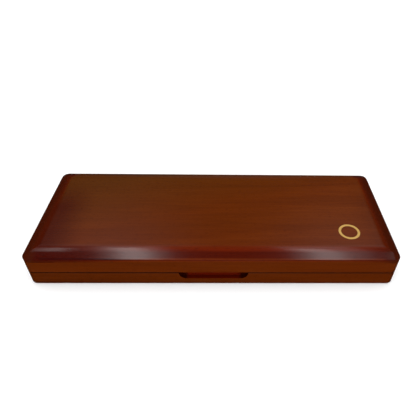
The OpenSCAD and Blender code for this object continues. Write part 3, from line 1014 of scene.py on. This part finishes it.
def cord_tree(material):
    """Nodes for a two-strand twisted cord round a round-cornered rectangle."""
    tree = bpy.data.node_groups.new("twisted_cord", "GeometryNodeTree")
    face = tree.interface
    inputs = {}
    for label, value in (
        ("Length", 2 * (CUSHION_HALF_L + CORD_GAP - CORD_R)),
        ("Width", 2 * (CUSHION_HALF_W + CORD_GAP - CORD_R)),
        ("Corner", CUSHION_CORNER),
        ("Strand radius", CORD_R / 2),
        ("Turn length", CORD_TURN),
    ):
        socket = face.new_socket(label, in_out="INPUT", socket_type="NodeSocketFloat")
        socket.default_value = value
        inputs[label] = socket.identifier
    face.new_socket("Cord", in_out="OUTPUT", socket_type="NodeSocketGeometry")
    given = add(tree, "NodeGroupInput").outputs
    path = add(
        tree,
        "GeometryNodeCurvePrimitiveQuadrilateral",
        links={"Width": given["Length"], "Height": given["Width"]},
    )
    rounded = add(
        tree,
        "GeometryNodeFilletCurve",
        {"Count": CORNER_POINTS},
        {"Curve": path.outputs["Curve"], "Radius": given["Corner"]},
        mode="POLY",
    )
    step = add(
        tree,
        "ShaderNodeMath",
        {1: POINTS_PER_TURN},
        {0: given["Turn length"]},
        operation="DIVIDE",
    )
    line = add(
        tree,
        "GeometryNodeResampleCurve",
        links={"Curve": rounded.outputs["Curve"], "Length": step.outputs["Value"]},
        mode="LENGTH",
    )
    along = add(tree, "GeometryNodeSplineParameter")
    turns = add(
        tree,
        "ShaderNodeMath",
        links={0: along.outputs["Length"], 1: given["Turn length"]},
        operation="DIVIDE",
    )
    strands = add(tree, "GeometryNodeJoinGeometry")
    profile = add(
        tree,
        "GeometryNodeCurvePrimitiveCircle",
        {"Resolution": STRAND_SIDES},
        {"Radius": given["Strand radius"]},
    )
    tangent = add(tree, "GeometryNodeInputTangent")
    outward = add(
        tree,
        "ShaderNodeVectorMath",
        {1: (0.0, 0.0, 1.0)},
        {0: tangent.outputs["Tangent"]},
        operation="CROSS_PRODUCT",
    )
    for start in (0.0, 0.5):
        angle = add(
            tree,
            "ShaderNodeMath",
            {1: 2 * math.pi, 2: 2 * math.pi * start},
            {0: turns.outputs["Value"]},
            operation="MULTIPLY_ADD",
        )
        side = add(tree, "ShaderNodeMath", links={0: angle.outputs["Value"]}, operation="COSINE")
        lift = add(tree, "ShaderNodeMath", links={0: angle.outputs["Value"]}, operation="SINE")
        sideways = add(
            tree,
            "ShaderNodeVectorMath",
            links={0: outward.outputs["Vector"], "Scale": side.outputs["Value"]},
            operation="SCALE",
        )
        upward = add(tree, "ShaderNodeCombineXYZ", links={"Z": lift.outputs["Value"]})
        both = add(
            tree,
            "ShaderNodeVectorMath",
            links={0: sideways.outputs["Vector"], 1: upward.outputs["Vector"]},
            operation="ADD",
        )
        offset = add(
            tree,
            "ShaderNodeVectorMath",
            links={0: both.outputs["Vector"], "Scale": given["Strand radius"]},
            operation="SCALE",
        )
        strand = add(
            tree,
            "GeometryNodeSetPosition",
            links={"Geometry": line.outputs["Curve"], "Offset": offset.outputs["Vector"]},
        )
        tube = add(
            tree,
            "GeometryNodeCurveToMesh",
            links={"Curve": strand.outputs["Geometry"], "Profile Curve": profile.outputs["Curve"]},
        )
        tree.links.new(tube.outputs["Mesh"], strands.inputs["Geometry"])
    whole = add(tree, "GeometryNodeRealizeInstances", links={"Geometry": strands.outputs["Geometry"]})
    finished = add(
        tree,
        "GeometryNodeSetMaterial",
        {"Material": material},
        {"Geometry": whole.outputs["Geometry"]},
    )
    add(tree, "NodeGroupOutput", links={"Cord": finished.outputs["Geometry"]})
    return tree, inputs


def make_cushion_cord():
    """The twisted satin cord that hides where the cushion meets the lid's rails."""
    material = champagne_satin("champagne_cord")
    tree, inputs = cord_tree(material)
    cord = put_in("cushion_cord", bpy.data.meshes.new("cushion_cord"))
    maker = cord.modifiers.new("twisted cord", "NODES")
    maker.node_group = tree
    maker[inputs["Turn length"]] = CORD_TURN
    apply_modifiers(cord)
    cord.data.transform(Matrix.Translation((0, 0, CUSHION_LOW + CORD_R)))
    cord.data.polygons.foreach_set("use_smooth", [True] * len(cord.data.polygons))
    face_out(cord)
    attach(cord, "lid")


# ---- Baize under the case ----


BAIZE_HALF_L = 105.8 * MM
BAIZE_HALF_W = 37.8 * MM
BAIZE_T = 0.8 * MM
BAIZE_CORNER = 1.5 * MM
CUT_STEP = 3 * MM  # between points along its edges
EDGE_SLOPE = 0.25 * MM  # how far the top and bottom of its edge draw in
WANDER = 0.08 * MM


def make_baize():
    """The sheet that the case stands on: cut by hand, so its edges wander a little and are soft."""
    chance = np.random.default_rng(7)
    ring = rounded_ring(BAIZE_HALF_L, BAIZE_HALF_W, BAIZE_CORNER, 4)
    points = []
    for k, (x, y) in enumerate(ring):
        nx, ny = ring[(k + 1) % len(ring)]
        count = max(1, round(math.hypot(nx - x, ny - y) / CUT_STEP))
        points += [(x + (nx - x) * i / count, y + (ny - y) * i / count) for i in range(count)]
    rings = []
    for inset, height in ((EDGE_SLOPE, 0.0), (0.0, 0.25), (0.0, 0.75), (EDGE_SLOPE, 1.0)):
        row = []
        for x, y in points:
            pull = 1 - (inset + chance.uniform(0, WANDER)) / BAIZE_HALF_W
            along = x * pull if abs(y) < BAIZE_HALF_W * 0.9 else x
            row.append((along, y * pull, height * BAIZE_T))
        rings.append(row)
    baize = closed_body("baize_sheet", rings, wool_baize("green_wool_baize"))
    face_out(baize)
    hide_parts("base_baize")
    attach(baize, "base")


# ---- Studio ----


UP = Vector((0, 0, 1))
EYE = (6.394 * MM, -200.816 * MM, 196.504 * MM)
# The eye's turns, in radians: to the right, down, and about the line of sight
TURN, DIP, ROLL = 0.03331, 0.70747, 0.026713
LENS = 35.315
LENS_SHIFT = -0.0649


def make_camera():
    """The eye: in front, a little right of the middle, looking down at the closed lid."""
    right = Vector((math.cos(TURN), -math.sin(TURN), 0))
    ahead = Vector((math.sin(TURN), math.cos(TURN), 0)) * math.cos(DIP) - UP * math.sin(DIP)
    overhead = right.cross(ahead)
    across = right * math.cos(ROLL) + overhead * math.sin(ROLL)
    upward = overhead * math.cos(ROLL) - right * math.sin(ROLL)
    lens = bpy.data.cameras.new("camera")
    lens.sensor_width = 36
    lens.lens = LENS
    lens.shift_x = LENS_SHIFT
    lens.clip_start = 0.01
    lens.clip_end = 20
    eye = put_in("camera", lens)
    facing = Matrix((across, upward, -ahead)).transposed().to_4x4()
    eye.matrix_world = Matrix.Translation(EYE) @ facing
    bpy.context.scene.camera = eye


def make_softbox(name, centre, size, power):
    """A rectangular studio light, facing down."""
    light = bpy.data.lights.new(name, "AREA")
    light.shape = "RECTANGLE"
    light.size, light.size_y = size
    light.energy = power
    lamp = put_in(name, light)
    lamp.location = centre
    return lamp


ROOM_GLOW = 0.003
# Broad dim glows that the lacquer mirrors: direction, narrowness, strength
HALOS = [
    ((-0.27, 0.6, 0.8), 80.0, 0.5),
    ((0.3, 0.6, 0.8), 80.0, 0.5),
    ((0.0, -0.9, 0.45), 8.0, 0.15),
    ((0.0, 0.97, 0.2), 16.0, 0.06),
]
STRIP_HEIGHT = 0.8
# Long softboxes overhead, each a bright middle in a dim surround: front end, back end, width, brightness
STRIPS = [
    ("left_middle", (-0.197, -0.3), (-0.247, 0.27), 0.075, 3.8),
    ("left_surround", (-0.195, -0.3), (-0.257, 0.42), 0.16, 0.85),
    ("right_middle", (0.299, -0.3), (0.216, 0.2), 0.075, 3.2),
    ("right_surround", (0.295, -0.3), (0.24, 0.42), 0.19, 0.85),
    ("left_end", (-0.42, -0.03), (-0.42, 0.25), 0.06, 2.0),
    ("right_end", (0.45, -0.13), (0.45, -0.02), 0.045, 0.9),
]


def make_strip(name, front, back, width, brightness):
    """A long narrow softbox overhead that runs from front to back."""
    front, back = Vector(front), Vector(back)
    run = back - front
    power = brightness * math.pi * width * run.length
    lamp = make_softbox(name, (*((front + back) / 2), STRIP_HEIGHT), (width, run.length), power)
    lamp.rotation_euler = (0, 0, -math.atan2(run.x, run.y))


def make_front_fill():
    """A softbox in front that looks at the case and lights it, but isn't mirrored in it."""
    lamp = make_softbox("front_fill", (0.0, -1.4, 0.7), (1.6, 0.8), 5.0)
    lamp.rotation_mode = "QUATERNION"
    lamp.rotation_quaternion = (Vector((0, 0, 0.02)) - lamp.location).to_track_quat("-Z", "Y")
    lamp.visible_glossy = False


FLOOR_HALF = 6  # metres


def make_floor():
    """A plain white table, faintly lit from within, large enough to fill every view."""
    material, tree = new_material("white_table")
    paint = add(
        tree,
        "ShaderNodeBsdfPrincipled",
        {
            "Base Color": srgb("#fafafa"),
            "Roughness": 0.9,
            "Specular IOR Level": 0.0,
            "Emission Color": srgb("#ffffff"),
            "Emission Strength": 0.12,
        },
    )
    add(tree, "ShaderNodeOutputMaterial", links={"Surface": paint.outputs["BSDF"]})
    corners = [(x * FLOOR_HALF, y * FLOOR_HALF, 0) for x, y in ((-1, -1), (1, -1), (1, 1), (-1, 1))]
    floor = plain_piece("table", corners, [(0, 1, 2, 3)], material)
    floor.visible_glossy = False


def make_studio():
    """Soft light all round, strip lights overhead, and a dim room for the lacquer to mirror."""
    scene = bpy.context.scene
    scene.view_settings.view_transform = "Standard"
    world = bpy.data.worlds.new("studio")
    scene.world = world
    world.use_nodes = True
    tree = world.node_tree
    tree.nodes.clear()
    ray = add(tree, "ShaderNodeLightPath")
    tent = add(tree, "ShaderNodeBackground", {"Color": srgb("#ffffff"), "Strength": 1.0})
    way = add(tree, "ShaderNodeTexCoord")
    glow = add(tree, "ShaderNodeValue")
    glow.outputs[0].default_value = ROOM_GLOW
    total = glow.outputs[0]
    for centre, spread, strength in HALOS:
        facing = add(
            tree,
            "ShaderNodeVectorMath",
            {1: tuple(Vector(centre).normalized())},
            {0: way.outputs["Generated"]},
            operation="DOT_PRODUCT",
        )
        kept = add(tree, "ShaderNodeMath", {1: 0.0}, {0: facing.outputs["Value"]}, operation="MAXIMUM")
        narrowed = add(tree, "ShaderNodeMath", {1: spread}, {0: kept.outputs["Value"]}, operation="POWER")
        summed = add(
            tree,
            "ShaderNodeMath",
            {1: strength},
            {0: narrowed.outputs["Value"], 2: total},
            operation="MULTIPLY_ADD",
        )
        total = summed.outputs["Value"]
    room = add(tree, "ShaderNodeBackground", {"Color": srgb("#ffffff")}, {"Strength": total})
    both = add(
        tree,
        "ShaderNodeMixShader",
        links={0: ray.outputs["Is Glossy Ray"], 1: tent.outputs[0], 2: room.outputs[0]},
    )
    add(tree, "ShaderNodeOutputWorld", links={"Surface": both.outputs[0]})
    for strip in STRIPS:
        make_strip(*strip)
    make_front_fill()


dress_frame()
make_velvet_bed()
make_satin_cushion()
make_cushion_cord()
make_baize()
make_floor()
make_studio()
make_camera()
